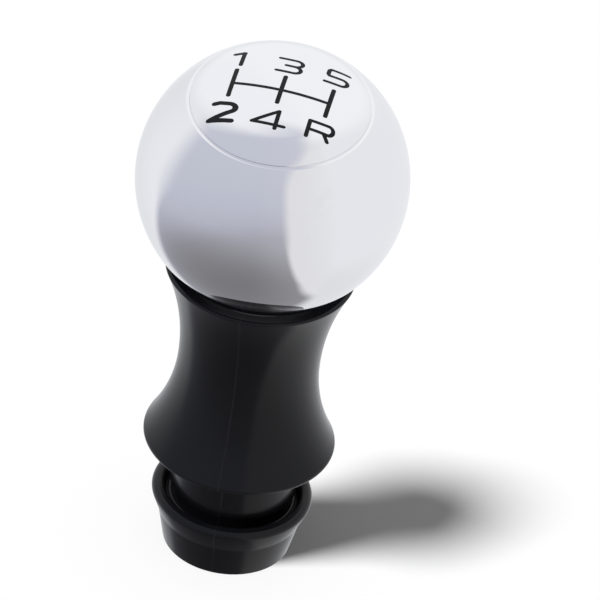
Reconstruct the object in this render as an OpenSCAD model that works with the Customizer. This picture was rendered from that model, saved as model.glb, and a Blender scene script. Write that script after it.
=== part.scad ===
// Gear shift knob for a five-speed lever.
// The origin is at the centre of the foot, where the sleeve stands on a flat
// surface. +Z runs up the lever, +X to the right of the car and +Y to its front.

/* [Ball] */
// Diameter of the metal ball
ball_d = 50; // [47:0.5:54]
// Radius of the flat that is turned under the ball
ball_flat_r = 10; // [9.5:0.5:11]
// Width of the hollow bevel on the ball's rim round the cap
rim_bevel_w = 0.8; // [0.5:0.1:1.1]
// Radius of the cutter that leaves the bevel
rim_bevel_cutter_r = 1.6; // [1.3:0.1:2]

/* [Cap] */
// Radius of the cap let into the top of the ball
cap_r = 16.5; // [16:0.25:18]
// Lean of the cap towards the driver, degrees
cap_tilt = 7; // [0:1:10]
// Radius of curvature of the cap's flat-looking middle
dome_r = 48; // [42:1:60]
// Radius at which the cap's middle turns down into its rounded shoulder
dome_reach = 11.5; // [10.5:0.5:12.5]
// Thickness of the cap at its edge
cap_t = 2.2; // [1.6:0.2:3]
// Radius of the peg that centres the cap in the ball
peg_r = 4; // [3:0.5:6]
// Length of that peg
peg_len = 3; // [2:0.5:4]
// Gap round the cap and under its peg
cap_clear = 0.04; // [0.02:0.01:0.08]

/* [Shift pattern] */
// Distance between neighbouring shift lines
column_gap = 9; // [8:0.25:9.25]
// Length of a shift line
lane_len = 7; // [6:0.1:8]
// Place of the gate line, from the cap's middle towards the front
gate_y = -0.9; // [-1.5:0.1:0]
// How far the middle of the shift lines lies in front of the gate line
lane_shift = 0.25; // [0:0.05:0.5]
// Distance from the gate line to the middle of the numbers
number_reach = 7.1; // [6.6:0.1:7.4]
// Height of a number, along the middle of its strokes
number_h = 3.8; // [3:0.1:4]
// Width of the shift lines
lane_w = 0.85; // [0.5:0.05:1]
// Width of the strokes of the numbers
number_w = 0.8; // [0.5:0.05:0.9]
// Width of a level stroke as a share of an upright one
pen_flat = 0.8; // [0.6:0.05:1]
// How much bolder the 2 is than the other numbers
bold_2 = 1.4; // [1:0.1:1.5]
// Depth of the engraving under the cap's face
engrave_depth = 0.4; // [0.3:0.05:0.6]
// How far the paint lies under the cap's face
paint_drop = 0.04; // [0.02:0.01:0.1]

/* [Sleeve] */
// Height of the lip's face above the foot
lip_z = 62.4; // [58.4:0.5:66.4]
// Outer radius of the lip
lip_r = 17.5; // [16.5:0.25:18.5]
// Rounding of the lip's outer edge
lip_round = 0.3; // [0.2:0.1:0.8]
// Height of the waist above the foot
waist_z = 41.8; // [39:0.5:44]
// Radius of the waist
waist_r = 13; // [12:0.25:14]
// Height of the skirt's lower edge above the foot
skirt_z = 23; // [21:0.5:25]
// Radius of the skirt
skirt_r = 17.65; // [16.5:0.25:18.5]
// Rounding of the skirt's lower edge
skirt_round = 0.8; // [0.4:0.1:1.2]
// How much further than the ball's own radius the lip's dish is curved
dish_open = 10.5; // [8:0.5:12]

/* [Gaiter neck and collar] */
// Radius of the neck that the gaiter is tied to
neck_r = 11.7; // [11.25:0.1:12.2]
// Height of the neck's lower end above the foot
neck_z = 13; // [12.7:0.1:14]
// Radius of the undercut below the neck
undercut_r = 11; // [10.6:0.1:11.2]
// Height of the bottom of the gutter behind the collar
gutter_z = 9.8; // [9:0.1:10.4]
// Height of the collar's rim above the foot
collar_z = 12.1; // [11.7:0.1:12.5]
// Greatest radius of the collar
collar_r = 14.8; // [14.4:0.1:15.5]
// Thickness of the collar's lip
collar_lip = 2.5; // [2:0.1:2.8]
// Radius of the collar where its lip turns into its wall
collar_wall_r = 13.25; // [12.75:0.25:13.5]
// Height of that turn above the foot
collar_wall_z = 6.9; // [6:0.1:7.5]
// Radius of the foot
foot_r = 11.7; // [11.2:0.1:12.5]
// Rounding of the foot's edge
foot_round = 0.5; // [0.2:0.1:0.8]
// Blend between the collar's wall and its lip
collar_blend = 3; // [1:0.5:4]
// Rounding of the bottom of the gutter
gutter_round = 0.5; // [0.2:0.1:0.6]
// Rounding of the neck's lower end
neck_round = 0.25; // [0.1:0.05:0.3]
// Fillet between the neck and the skirt's underside
skirt_fillet = 0.8; // [0.3:0.1:1.5]

/* [Core] */
// Outer radius of the stiff tube inside the sleeve
core_r = 9.5; // [9.25:0.05:9.75]
// Radius of the tube's bore
core_bore_r = 7.5; // [7.2:0.1:7.7]
// How far the tube's lower end is set back from the foot
core_recess = 0.8; // [0.4:0.1:2]
// Radius of the shoulder that the ball rests on
shoulder_r = 12; // [11.5:0.25:12.5]
// Thickness of that shoulder
shoulder_t = 2.5; // [2:0.25:3]
// Depth of the shoulder's face below the lip's face
seat_drop = 2.7; // [2.3:0.1:2.9]
// Radius of the spigot that goes up into the ball
spigot_r = 8.5; // [7.5:0.25:9]
// Length of that spigot
spigot_len = 10; // [8:0.5:12]
// Thickness of the web under the screw, measured down from the shoulder's face
web_t = 3.7; // [3:0.1:5]
// Gap round and over the spigot
spigot_clear = 0.05; // [0.02:0.01:0.1]

/* [Ball screw] */
// Diameter of the screw that holds the ball
screw_d = 8; // [6:1:8]
// Length of the screw under its head
screw_len = 25; // [22:1:26]
// Diameter of the screw's head
screw_head_d = 13; // [11:0.5:13]
// Height of the screw's head
screw_head_h = 8; // [6:0.5:8]
// Width across the flats of the key socket
key_af = 6; // [4:0.5:6]
// Depth of the key socket
key_depth = 4; // [3:0.5:5]
// Gap round the screw in its clearance holes
screw_clear = 0.3; // [0.2:0.05:0.4]
// Gap between the screw's thread and the ball's
thread_clear = 0.01; // [0.01:0.01:0.05]
// How far the ball's tapped hole goes on past the screw's end
screw_spare = 1; // [0.5:0.5:3]

/* [Lever] */
// Diameter of the tapped hole, before its thread
tap_d = 10.75; // [10:0.25:11]
// Length of the tapped hole
tap_len = 22; // [18:1:24]
// Height of the tapped hole's mouth above the foot
tap_z = 24; // [20:1:24]
// Diameter of the lever's shank
shank_d = 12; // [11.5:0.25:12.5]
// Gap between the shank and its guide bush
shank_clear = 0.1; // [0.05:0.05:0.3]
// Outer radius of the guide bush
bush_r = 8; // [7.9:0.05:8.2]
// Length of the guide bush
bush_len = 11; // [8:1:12]
// Width of the retaining groove round the threaded insert
insert_groove_w = 4; // [2:0.5:6]
// Depth of that groove
insert_groove_depth = 0.8; // [0.4:0.1:1]

/* [Hidden] */

polished_metal = [0.80, 0.81, 0.84];
black_paint = [0.05, 0.05, 0.06];
black_rubber = [0.10, 0.10, 0.11];
grey_plastic = [0.30, 0.31, 0.33];
plated_steel = [0.62, 0.63, 0.66];
brass = [0.80, 0.64, 0.32];
white_plastic = [0.86, 0.85, 0.80];

// How finely curves are drawn
round_fn = 128;
bevel_fn = 96;
dome_fn = 720;
shoulder_fn = 360;
arc_steps = 24;
corner_steps = 6;
lobe_steps = 10;

// How far cutters and overlaps reach past a face
over = 1;
skin = 0.25;

// Heights that follow from the sizes above
ball_r = ball_d / 2;
seat_z = lip_z - seat_drop;
ball_z = seat_z + sqrt(ball_r * ball_r - ball_flat_r * ball_flat_r);
socket_z = seat_z + spigot_len + spigot_clear;
web_z = seat_z - web_t;
screw_top_z = web_z + screw_len;
tapped_top_z = screw_top_z + screw_spare;
tap_top_z = tap_z + tap_len;
bush_top_z = core_recess + bush_len;

// The dish under the ball: a wider sphere, set a little lower than the ball's seat
dish_r = ball_r + dish_open;
dish_drop = 0.15;
dish_z = seat_z - dish_drop + sqrt(dish_r * dish_r - ball_flat_r * ball_flat_r);
dish_edge_r = sqrt(dish_r * dish_r - (dish_z - lip_z) * (dish_z - lip_z));

// The cap's section, with heights above the ball's centre along the cap's axis
edge_slope = asin(cap_r / ball_r);
edge_z = ball_r * cos(edge_slope);
dome_slope = asin(dome_reach / dome_r);
bend_r = (cap_r - dome_reach) / (sin(edge_slope) - sin(dome_slope));
bend_x = cap_r - bend_r * sin(edge_slope);
bend_z = edge_z - bend_r * cos(edge_slope);
dome_z = bend_z + (bend_r - dome_r) * cos(dome_slope);
floor_z = edge_z - cap_t;

function unit(v) = v / norm(v);
function reversed(p) = [for (i = [0:len(p) - 1]) p[len(p) - 1 - i]];

// Points on an ellipse from angle a0 to angle a1
function arc(c, rx, ry, a0, a1, n) =
    [for (i = [0:n]) let (a = a0 + (a1 - a0) * i / n) c + [rx * cos(a), ry * sin(a)]];

// Points on an arc of radius r that rounds the corner b between a and c
function corner(a, b, c, r) =
    let (
        u = unit(a - b),
        v = unit(c - b),
        half = acos(u * v) / 2,
        mid = b + unit(u + v) * r / sin(half),
        from = b + u * r / tan(half) - mid,
        to = b + v * r / tan(half) - mid,
        a0 = atan2(from[1], from[0]),
        turn = atan2(to[1], to[0]) - a0,
        sweep = turn > 180 ? turn - 360 : turn < -180 ? turn + 360 : turn
    )
    arc(mid, r, r, a0, a0 + sweep, corner_steps);

// Radius of a hollow arc that starts upright at the waist and ends tangent to
// an edge rounding of radius q, whose centre is dx further out and dz away
function hollow_r(dx, dz, q) = (dx * dx + dz * dz - q * q) / (2 * (q + dx));

// Outline of the sleeve, upwards from the foot to the lip
lip_hollow = hollow_r(lip_r - lip_round - waist_r, lip_z - lip_round - waist_z, lip_round);
lip_turn = asin((lip_z - lip_round - waist_z) / (lip_hollow + lip_round));
skirt_hollow = hollow_r(skirt_r - skirt_round - waist_r, waist_z - skirt_z - skirt_round, skirt_round);
skirt_turn = asin((waist_z - skirt_z - skirt_round) / (skirt_hollow + skirt_round));
collar_rim = [collar_r - collar_lip / 2, collar_z - collar_lip / 2];

// The part of the collar's rim that is one arc, in degrees up from straight out
rim_from = -15;
rim_to = 130;

function collar_outline() =
    let (
        foot = [foot_r, 0],
        turn = [collar_wall_r, collar_wall_z],
        flank = [collar_r, collar_rim[1] - collar_lip / 4],
        gutter = [undercut_r, gutter_z]
    )
    concat(
        corner([0, 0], foot, turn, foot_round),
        corner(foot, turn, flank, collar_blend),
        arc(collar_rim, collar_lip / 2, collar_lip / 2, rim_from, rim_to, arc_steps),
        corner(collar_rim, gutter, [undercut_r, neck_z], gutter_round),
        corner(gutter, [undercut_r, neck_z], [neck_r, neck_z], neck_round),
        corner([undercut_r, neck_z], [neck_r, neck_z], [neck_r, skirt_z], neck_round)
    );

function body_outline() = concat(
    corner([neck_r, neck_z], [neck_r, skirt_z], [skirt_r, skirt_z], skirt_fillet),
    arc([skirt_r - skirt_round, skirt_z + skirt_round], skirt_round, skirt_round,
        -90, skirt_turn, corner_steps),
    arc([waist_r + skirt_hollow, waist_z], skirt_hollow, skirt_hollow,
        180 + skirt_turn, 180, arc_steps),
    arc([waist_r + lip_hollow, waist_z], lip_hollow, lip_hollow,
        180, 180 - lip_turn, arc_steps),
    arc([lip_r - lip_round, lip_z - lip_round], lip_round, lip_round,
        -lip_turn, 90, corner_steps)
);

// A hollow solid of revolution between two heights
module tube(r_out, r_in, z0, z1) {
    translate([0, 0, z0])
        difference() {
            cylinder(r = r_out, h = z1 - z0, $fn = round_fn);
            translate([0, 0, -over]) cylinder(r = r_in, h = z1 - z0 + 2 * over, $fn = round_fn);
        }
}

module rod(r, z0, z1) {
    translate([0, 0, z0]) cylinder(r = r, h = z1 - z0, $fn = round_fn);
}

// Children given in the cap's own frame, which is centred on the ball
module on_ball() {
    translate([0, 0, ball_z]) rotate([cap_tilt, 0, 0]) children();
}

// Solid under the cap's face, with the face lowered by drop, above floor_at
module under_face(r, drop, floor_at) {
    split = (dome_r - drop) * sin(dome_slope);
    rotate_extrude($fn = round_fn)
        intersection() {
            translate([0, floor_at]) square([r, ball_r]);
            union() {
                intersection() {
                    translate([0, dome_z]) circle(r = dome_r - drop, $fn = dome_fn);
                    square([split, ball_r]);
                }
                intersection() {
                    translate([bend_x, bend_z]) circle(r = bend_r - drop, $fn = shoulder_fn);
                    translate([split, 0]) square([r, ball_r]);
                }
                square([r, bend_z + (bend_r - drop) * cos(edge_slope) - skin]);
            }
        }
}

// One painted stroke of width w with round ends, along the points of p. The pen is
// flatter than it is wide, so the stroke is worked out on stretched heights.
function stretched(p, k) = [for (q = p) [q[0], q[1] * k]];
function side(p, k) = [
    for (i = [0:len(p) - 1])
        let (
            back = i > 0 ? unit(p[i] - p[i - 1]) : unit(p[1] - p[0]),
            ahead = i < len(p) - 1 ? unit(p[i + 1] - p[i]) : back,
            along = unit(back + ahead)
        )
        p[i] + k / (along * ahead) * [-along[1], along[0]]
];
end_half = 80;
end_steps = 8;
function round_end(from, at, w) =
    let (d = unit(at - from), a = atan2(d[1], d[0]))
    arc(at, w / 2, w / 2, a + end_half, a - end_half, end_steps);

module stroke(path, w) {
    p = stretched(path, 1 / pen_flat);
    n = len(p) - 1;
    outline = concat(
        side(p, w / 2), round_end(p[n - 1], p[n], w),
        reversed(side(p, -w / 2)), round_end(p[1], p[0], w)
    );
    polygon(stretched(outline, pen_flat));
}

// The gate: three shift lines joined by a line across
module gate_lines() {
    translate([0, gate_y]) {
        for (x = [-column_gap, 0, column_gap])
            translate([x, lane_shift]) stroke([[0, -lane_len / 2], [0, lane_len / 2]], lane_w);
        stroke([[-column_gap, 0], [column_gap, 0]], lane_w);
    }
}

// The numbers, drawn about their own middles, h high along their strokes
module number_1(h, w) {
    stroke([[-h / 3, h / 3], [h / 12, h / 2]], 1.2 * w);
    stroke([[h / 12, h / 2], [h / 12, -h / 2]], w);
}

module number_2(h, w) {
    lobe = arc([h / 5, h / 4], h / 3, h / 4, 90, -50, lobe_steps);
    stroke(concat([[-h / 2, 0.42 * h]], [[-h / 4, h / 2]], lobe), w);
    stroke([lobe[lobe_steps], [-0.55 * h, -h / 2]], w);
    stroke([[-0.55 * h, -h / 2], [h / 2, -h / 2]], w);
}

module number_3(h, w) {
    upper = arc([h / 4, h / 4], h / 3, h / 4, 90, -90, lobe_steps);
    lower = arc([h / 4, -h / 4], h / 3, h / 4, 90, -90, lobe_steps);
    stroke(concat([[-0.55 * h, h / 2]], upper, [[-h / 6, 0]]), w);
    stroke(concat(lower, [[-0.55 * h, -h / 2]]), w);
}

module number_4(h, w) {
    stroke([[h / 4, h / 2], [-0.9 * h, -h / 3]], w);
    stroke([[-0.9 * h, -h / 3], [0.65 * h, -h / 3]], w);
    stroke([[h / 4, h / 2], [h / 4, -0.53 * h]], w);
}

module number_5(h, w) {
    stroke(concat(
        [[0.45 * h, 0.6 * h], [-0.44 * h, 0.6 * h], [-0.52 * h, h / 2]],
        [[-0.52 * h, h / 5], [-0.44 * h, h / 10]],
        arc([h / 5, -0.15 * h], 0.3 * h, h / 4, 90, -90, lobe_steps),
        [[-0.57 * h, -0.4 * h]]
    ), w);
}

module letter_r(h, w) {
    bowl = arc([h / 3, h / 4], h / 4, h / 4, 90, -90, lobe_steps);
    stroke([[-0.6 * h, -0.43 * h], [-0.6 * h, h / 2]], w);
    stroke(concat([[-0.6 * h, h / 2]], bowl, [[-0.6 * h, 0]]), w);
    stroke([[h / 6, 0], [0.42 * h, -h / 3]], w);
}

module number_marks() {
    for (row = [1, -1])
        translate([0, gate_y + row * number_reach]) {
            translate([-column_gap, 0])
                if (row > 0) number_1(number_h, number_w); else number_2(number_h, bold_2 * number_w);
            if (row > 0) number_3(number_h, number_w); else number_4(number_h, number_w);
            translate([column_gap, 0])
                if (row > 0) number_5(number_h, number_w); else letter_r(number_h, number_w);
        }
}

// Marks cut straight down from the cap's face, from drop to engrave_depth
module marks_in_face(drop) {
    intersection() {
        translate([0, 0, floor_z]) linear_extrude(height = ball_r) children();
        difference() {
            under_face(cap_r, drop, floor_z);
            under_face(cap_r + over, engrave_depth, 0);
        }
    }
}

module knob_ball() {
    rim_slope = asin((cap_r + cap_clear) / ball_r);
    cutter_at = ball_r + sqrt(pow(rim_bevel_cutter_r, 2) - pow(rim_bevel_w, 2));
    color(polished_metal)
        difference() {
            translate([0, 0, ball_z]) sphere(r = ball_r, $fn = 2 * round_fn);
            rod(ball_r, seat_z - ball_r, seat_z);
            rod(spigot_r + spigot_clear, seat_z - over, socket_z);
            rod(screw_d / 2 + thread_clear, seat_z, tapped_top_z);
            on_ball() {
                rod(cap_r + cap_clear, floor_z, ball_r + over);
                rod(peg_r + cap_clear, floor_z - peg_len - cap_clear, floor_z + over);
                rotate_extrude($fn = round_fn)
                    translate([cutter_at * sin(rim_slope), cutter_at * cos(rim_slope)])
                        circle(r = rim_bevel_cutter_r, $fn = bevel_fn);
            }
        }
}

module pattern_cap() {
    color(polished_metal)
        on_ball()
            difference() {
                union() {
                    under_face(cap_r, 0, floor_z);
                    rod(peg_r, floor_z - peg_len, floor_z + cap_t / 2);
                }
                marks_in_face(-over) {
                    gate_lines();
                    number_marks();
                }
            }
}

module gate_infill() {
    color(black_paint) on_ball() marks_in_face(paint_drop) gate_lines();
}

module number_infill() {
    color(black_paint) on_ball() marks_in_face(paint_drop) number_marks();
}

module grip_sleeve() {
    color(black_rubber)
        difference() {
            rotate_extrude($fn = round_fn)
                polygon(concat([[0, 0]], collar_outline(), body_outline(), [[0, lip_z]]));
            rod(core_r, -over, seat_z);
            rod(shoulder_r, seat_z - shoulder_t, lip_z);
            intersection() {
                translate([0, 0, dish_z]) sphere(r = dish_r, $fn = 2 * round_fn);
                rod(dish_edge_r + over, seat_z - dish_r, lip_z + over);
            }
        }
}

module stem_core() {
    color(grey_plastic)
        difference() {
            union() {
                rod(core_r, core_recess, seat_z);
                rod(shoulder_r, seat_z - shoulder_t, seat_z);
                rod(spigot_r, seat_z - over, seat_z + spigot_len);
            }
            rod(bush_r, 0, bush_top_z);
            rod(core_bore_r, bush_top_z - over, tap_top_z);
            rod(screw_head_d / 2 + screw_clear, tap_top_z - over, web_z);
            rod(screw_d / 2 + screw_clear, web_z - over, socket_z + over);
        }
}

module ball_screw() {
    color(plated_steel)
        difference() {
            union() {
                rod(screw_head_d / 2, web_z - screw_head_h, web_z);
                rod(screw_d / 2, web_z - over, screw_top_z);
            }
            translate([0, 0, web_z - screw_head_h - over])
                cylinder(r = key_af / sqrt(3), h = key_depth + over, $fn = 6);
        }
}

module threaded_insert() {
    groove_z = tap_z + (tap_len - insert_groove_w) / 2;
    color(brass)
        difference() {
            tube(core_bore_r, tap_d / 2, tap_z, tap_top_z);
            tube(core_bore_r + over, core_bore_r - insert_groove_depth,
                groove_z, groove_z + insert_groove_w);
        }
}

module guide_bush() {
    color(white_plastic) tube(bush_r, shank_d / 2 + shank_clear, core_recess, bush_top_z);
}

knob_ball();
pattern_cap();
gate_infill();
number_infill();
grip_sleeve();
stem_core();
ball_screw();
threaded_insert();
guide_bush();
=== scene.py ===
"""Looks of a gear shift knob: a polished metal ball with a pattern cap, on a satin black rubber sleeve."""

import math

import bpy
from bpy.props import FloatProperty, FloatVectorProperty, PointerProperty
from mathutils import Matrix, Vector
from mathutils.geometry import delaunay_2d_cdt


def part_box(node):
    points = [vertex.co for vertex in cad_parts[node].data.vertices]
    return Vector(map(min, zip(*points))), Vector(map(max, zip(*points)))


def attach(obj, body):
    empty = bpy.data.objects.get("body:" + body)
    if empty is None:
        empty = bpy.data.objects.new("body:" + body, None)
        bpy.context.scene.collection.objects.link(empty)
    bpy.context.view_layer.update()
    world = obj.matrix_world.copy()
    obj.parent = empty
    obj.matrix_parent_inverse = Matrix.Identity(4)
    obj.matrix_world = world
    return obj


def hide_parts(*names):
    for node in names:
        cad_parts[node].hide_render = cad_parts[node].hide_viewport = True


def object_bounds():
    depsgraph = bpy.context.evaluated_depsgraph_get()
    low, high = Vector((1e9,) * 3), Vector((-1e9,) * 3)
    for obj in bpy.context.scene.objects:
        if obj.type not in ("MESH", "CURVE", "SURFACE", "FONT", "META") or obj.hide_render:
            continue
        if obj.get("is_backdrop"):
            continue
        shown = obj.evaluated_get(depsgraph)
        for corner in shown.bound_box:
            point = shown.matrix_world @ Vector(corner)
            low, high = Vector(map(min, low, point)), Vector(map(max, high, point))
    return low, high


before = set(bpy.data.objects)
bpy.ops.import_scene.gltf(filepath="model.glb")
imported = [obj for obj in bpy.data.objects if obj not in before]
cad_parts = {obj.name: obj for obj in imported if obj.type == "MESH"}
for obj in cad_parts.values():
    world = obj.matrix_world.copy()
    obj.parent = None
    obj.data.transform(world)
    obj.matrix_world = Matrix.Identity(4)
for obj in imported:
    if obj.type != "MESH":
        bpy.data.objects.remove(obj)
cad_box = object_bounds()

bl_info = {
    "name": "Gear Shift Knob",
    "version": (1, 0, 0),
    "blender": (4, 5, 0),
    "location": "View3D > Sidebar > Gear Knob",
    "description": "Builds the looks of a gear shift knob round its packed solids",
    "category": "Add Mesh",
}

MM = 0.001
FULL_TURN = 2 * math.pi

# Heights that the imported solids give
SEAT_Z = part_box("knob_ball")[0].z
LIP_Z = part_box("grip_sleeve")[1].z
INSERT_LOW, INSERT_HIGH = (end.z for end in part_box("threaded_insert"))
SCREW_LOW, SCREW_HIGH = (end.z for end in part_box("ball_screw"))

# How finely the curves are drawn
BALL_SEGMENTS = 256
BALL_RINGS = 150
BEVEL_STEPS = 10
SLEEVE_SEGMENTS = 216
CAP_SEGMENTS = 192
CAP_LEAST_SEGMENTS = 6
CAP_GRAIN = 0.6 * MM
CAP_INNER_RINGS = 20
CAP_SHOULDER_RINGS = 28
STROKE_PACE = 0.45 * MM
ARC_STEPS = 40
CORNER_STEPS = 8
LOBE_STEPS = 12
END_STEPS = 10
SEAM_STEPS = 8
THREAD_SEGMENTS = 120
SEGMENTS_PER_KNURL = 4
ROWS_PER_PITCH = 8
SHARP_EDGE = math.radians(28)

# Decimal places of a millimetre in which two vertices that become one agree
SAME_PLACES = 4

# How exactly the cap's edges are cut, in millimetres, and how near its rim a point of the rim lies
CUT_GRAIN_MM = 1e-5
RIM_SLACK = 0.01 * MM

# How far a stroke's round end turns to either side, in degrees
END_TURN = 80

# How much bolder the flag of the 1 is than the other strokes
BOLD_FLAG = 1.2

# Where the rounding of the collar's lip starts and ends, in degrees
COLLAR_ROUND = (-15, 130)

# Room left free beside a parting line, in half widths of the line
SEAM_ROOM = 1.5

# Share of a thread's pitch that is flat at its crest and at its root
THREAD_FLAT = 0.15


def length(name, description, mm):
    """A size kept in metres and given in millimetres."""
    return FloatProperty(name=name, description=description, default=mm * MM, precision=5, unit="LENGTH")


def angle(name, description, degrees):
    """An angle kept in radians and given in degrees."""
    return FloatProperty(name=name, description=description, default=math.radians(degrees), unit="ROTATION")


def number(name, description, value):
    """A plain number."""
    return FloatProperty(name=name, description=description, default=value)


def colour(name, description, *value):
    """A colour in linear light."""
    return FloatVectorProperty(name=name, description=description, default=value, size=3, subtype="COLOR")


class BallSizes(bpy.types.PropertyGroup):
    """Sizes of the metal ball and of what is cut into it."""

    radius: length("Radius", "Radius of the ball", 25)
    flat: length("Flat", "Radius of the flat turned under the ball", 10)
    socket: length("Socket", "Radius of the socket for the core's spigot", 8.55)
    socket_depth: length("Socket depth", "Depth of that socket", 10.05)
    tapped: length("Tapped hole", "Radius of the tapped hole", 4.01)
    tapped_end: length("Tapped end", "Height of the tapped hole's end above the flat", 22.3)
    bevel: length("Bevel", "Width of the hollow bevel round the cap", 0.8)
    cutter: length("Bevel cutter", "Radius of the cutter that leaves the bevel", 1.6)


class CapSizes(bpy.types.PropertyGroup):
    """Sizes of the pattern cap let into the top of the ball."""

    radius: length("Radius", "Radius of the cap", 16.5)
    tilt: angle("Tilt", "Lean of the cap towards the driver", 7)
    dome: length("Dome", "Radius of curvature of the cap's middle", 48)
    reach: length("Dome reach", "Radius at which the middle turns down into the shoulder", 11.5)
    thickness: length("Thickness", "Thickness of the cap at its edge", 2.2)
    peg: length("Peg", "Radius of the centring peg", 4)
    peg_length: length("Peg length", "Length of the centring peg", 3)
    clearance: length("Clearance", "Gap round the cap and under its peg", 0.01)


class MarkSizes(bpy.types.PropertyGroup):
    """Sizes of the engraved gate and numbers."""

    column_gap: length("Column gap", "Distance between neighbouring shift lines", 9)
    lane: length("Lane", "Length of a shift line", 7)
    lane_shift: length("Lane shift", "How far the lines' middle lies in front of the gate line", 0.25)
    gate_y: length("Gate place", "Place of the gate line, towards the front", -0.9)
    reach: length("Number reach", "Distance from the gate line to the numbers", 7.1)
    height: length("Number height", "Height of a number along its strokes", 3.8)
    lane_width: length("Line width", "Width of the shift lines", 0.85)
    stroke_width: length("Stroke width", "Width of the numbers' strokes", 0.8)
    pen_flat: number("Pen", "Width of a level stroke as a share of an upright one", 0.8)
    bold_two: number("Bold 2", "How much bolder the 2 is than the others", 1.4)
    depth: length("Depth", "Depth of the engraving", 0.4)
    paint_drop: length("Paint drop", "How far the paint lies under the cap's face", 0.04)


class SleeveSizes(bpy.types.PropertyGroup):
    """Sizes of the rubber sleeve."""

    lip: length("Lip", "Outer radius of the lip", 17.5)
    lip_round: length("Lip rounding", "Rounding of the lip's edge", 0.3)
    waist: length("Waist", "Radius of the waist", 13)
    waist_z: length("Waist height", "Height of the waist", 41.8)
    skirt: length("Skirt", "Radius of the skirt", 17.65)
    skirt_z: length("Skirt height", "Height of the skirt's lower edge", 23)
    skirt_round: length("Skirt rounding", "Rounding of the skirt's edge", 0.8)
    skirt_fillet: length("Skirt fillet", "Fillet between the neck and the skirt", 0.8)
    dish_open: length("Dish opening", "How much wider than the ball the lip's dish is curved", 10.5)
    dish_drop: length("Dish drop", "How far the dish lies below the ball's flat", 0.15)
    bore: length("Bore", "Radius of the hole for the core", 9.5)
    shoulder: length("Shoulder", "Radius of the recess for the core's shoulder", 12)
    shoulder_depth: length("Shoulder depth", "Depth of that recess below the ball's flat", 2.5)
    neck: length("Neck", "Radius of the gaiter's neck", 11.7)
    neck_z: length("Neck height", "Height of the neck's lower end", 13)
    neck_round: length("Neck rounding", "Rounding of the neck's lower end", 0.25)
    undercut: length("Undercut", "Radius of the undercut below the neck", 11)
    gutter_z: length("Gutter height", "Height of the gutter's bottom", 9.8)
    gutter_round: length("Gutter rounding", "Rounding of the gutter's bottom", 0.5)
    collar: length("Collar", "Greatest radius of the collar", 14.8)
    collar_z: length("Collar height", "Height of the collar's rim", 12.1)
    collar_lip: length("Collar lip", "Thickness of the collar's lip", 2.5)
    collar_wall: length("Collar wall", "Radius where the collar's lip turns into its wall", 13.25)
    collar_wall_z: length("Collar wall height", "Height of that turn", 6.9)
    collar_blend: length("Collar blend", "Blend between the collar's wall and lip", 3)
    foot: length("Foot", "Radius of the foot", 11.7)
    foot_round: length("Foot rounding", "Rounding of the foot's edge", 0.5)
    seam_width: length("Seam width", "Width of the mould's parting line", 0.3)
    seam_height: length("Seam height", "Height of the mould's parting line", 0.05)


class InnerSizes(bpy.types.PropertyGroup):
    """Sizes of the threads, knurls and holes inside the sleeve."""

    pitch: length("Pitch", "Pitch of both threads", 1.25)
    insert_bore: length("Insert bore", "Least radius of the insert's thread", 5.375)
    insert_thread: length("Insert thread", "Depth of the insert's thread", 0.62)
    insert_outer: length("Insert radius", "Outer radius of the insert", 7.5)
    insert_knurl: length("Insert knurl", "Depth of the insert's knurl", 0.25)
    insert_groove: length("Insert groove", "Depth of the insert's retaining groove", 0.8)
    groove_width: length("Groove width", "Width of that groove", 4)
    screw: length("Screw", "Radius of the screw", 4)
    screw_thread: length("Screw thread", "Depth of the screw's thread", 0.7)
    head: length("Screw head", "Radius of the screw's head", 6.5)
    head_height: length("Head height", "Height of the screw's head", 8)
    head_knurl: length("Head knurl", "Depth of the head's knurl", 0.2)
    chamfer: length("Chamfer", "Chamfer of the screw's and the insert's ends", 0.5)
    key_flats: length("Key socket", "Width across the flats of the key socket", 6)
    key_depth: length("Key depth", "Depth of the key socket", 4)


class FinishColours(bpy.types.PropertyGroup):
    """Colours of the knob's materials."""

    metal: colour("Metal", "Polished metal", 0.905, 0.908, 0.922)
    paint: colour("Paint", "Paint in the engraving", 0.007, 0.007, 0.008)
    rubber: colour("Rubber", "Satin black rubber", 0.0032, 0.0033, 0.0042)
    core: colour("Core", "Glass-filled plastic of the core", 0.05, 0.05, 0.054)
    steel: colour("Steel", "Plated steel of the screw", 0.60, 0.61, 0.64)
    brass: colour("Brass", "Brass of the insert", 0.80, 0.60, 0.28)
    bush: colour("Bush", "Bearing plastic of the bush", 0.74, 0.72, 0.66)


class StudioSettings(bpy.types.PropertyGroup):
    """The camera, the light and the floor."""

    azimuth: angle("Azimuth", "Camera's turn round the knob", 8.2)
    elevation: angle("Elevation", "Camera's height above the floor", 36.4)
    roll: angle("Roll", "Camera's roll", 7.45)
    distance: length("Distance", "Camera's distance from the ball", 3000)
    near: length("Near end", "Nearest distance that the camera sees", 100)
    far: length("Far end", "Farthest distance that the camera sees", 10000)
    sensor: number("Sensor", "Sensor width in millimetres", 36)
    frame_px: number("Frame", "Width and height of the frame in pixels", 600)
    ball_px: number("Ball radius", "Ball's radius in the frame, pixels", 137.9)
    ball_px_x: number("Ball x", "Ball's centre from the frame's left edge, pixels", 272.6)
    ball_px_y: number("Ball y", "Ball's centre from the frame's upper edge, pixels", 178.1)
    floor_width: length("Floor", "Width of the floor", 2400)
    floor: colour("Floor colour", "Pale floor", 0.86, 0.86, 0.86)
    floor_glow: number("Floor glow", "White that the camera sees over the lit floor", 0.04)
    fill: number("Fill", "Light from all round", 0.15)
    key: number("Key", "Strength of the key light", 3.64)
    key_azimuth: angle("Key azimuth", "Key light's turn from the camera, to the right", -67)
    key_elevation: angle("Key elevation", "Key light's height", 57)
    key_width: angle("Key size", "Angle that the key light fills", 13)


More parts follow.
